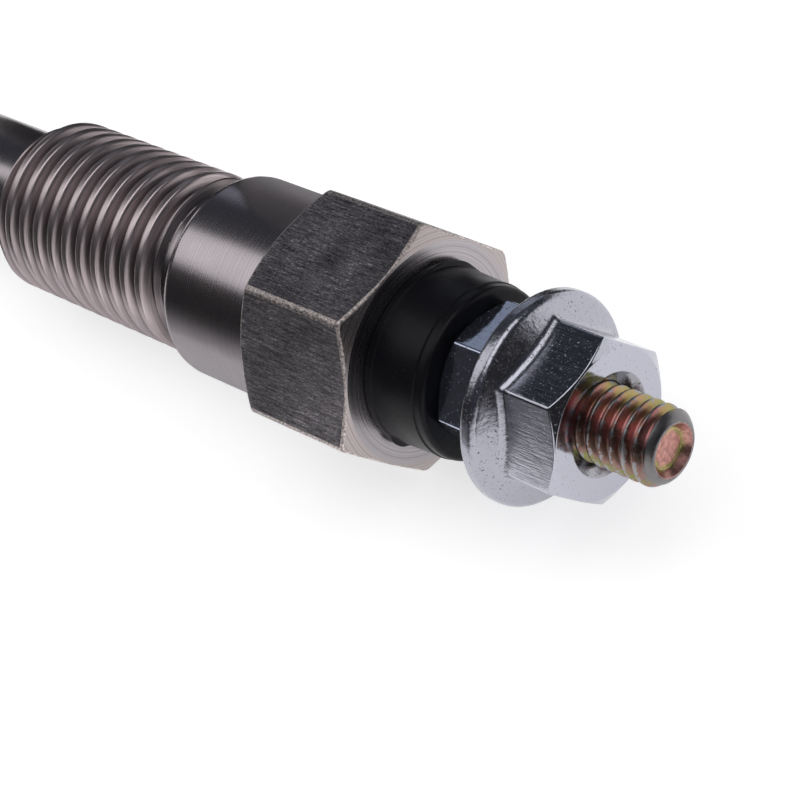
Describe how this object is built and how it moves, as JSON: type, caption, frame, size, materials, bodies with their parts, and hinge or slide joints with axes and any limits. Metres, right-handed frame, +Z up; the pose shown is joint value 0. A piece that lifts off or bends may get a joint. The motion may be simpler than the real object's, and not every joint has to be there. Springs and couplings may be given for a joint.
{
  "type": "diesel glow plug",
  "caption": "Diesel glow plug: steel shell with hexagon and engine thread, heater sheath with coils inside, black insulating bush, and a stud terminal with lock nut and flange nut.",
  "frame": {"origin": "on the plug's axis, where the tapered seat meets the nose of the shell", "axes": "+X along the axis towards the terminal, +Z up, with one flat of the shell's hexagon facing down"},
  "size_m": [0.0816, 0.0138, 0.012],
  "materials": {
    "shell_steel": "nickel-plated turned steel, satin",
    "sheath_alloy": "ground heat-resisting alloy, satin",
    "heating_wire": "oxidised resistance wire",
    "control_wire": "bright nickel wire",
    "packed_powder": "packed magnesia powder, matt",
    "seal_rubber": "black rubber, matt",
    "passivated_steel": "zinc-plated steel with yellow iridescent passivation",
    "bush_black": "black moulded resin, satin",
    "nut_plating": "bright plated steel"
  },
  "bodies": {
    "root": {"body_shell": "shell_steel", "heater_sheath": "sheath_alloy", "heating_coil": "heating_wire", "control_coil": "control_wire", "magnesia_fill": "packed_powder", "sheath_seal": "seal_rubber", "centre_pole": "passivated_steel", "o_ring": "seal_rubber", "insulator_bush": "bush_black", "lock_nut": "nut_plating", "flange_nut": "nut_plating"}
  },
  "joints": []
}
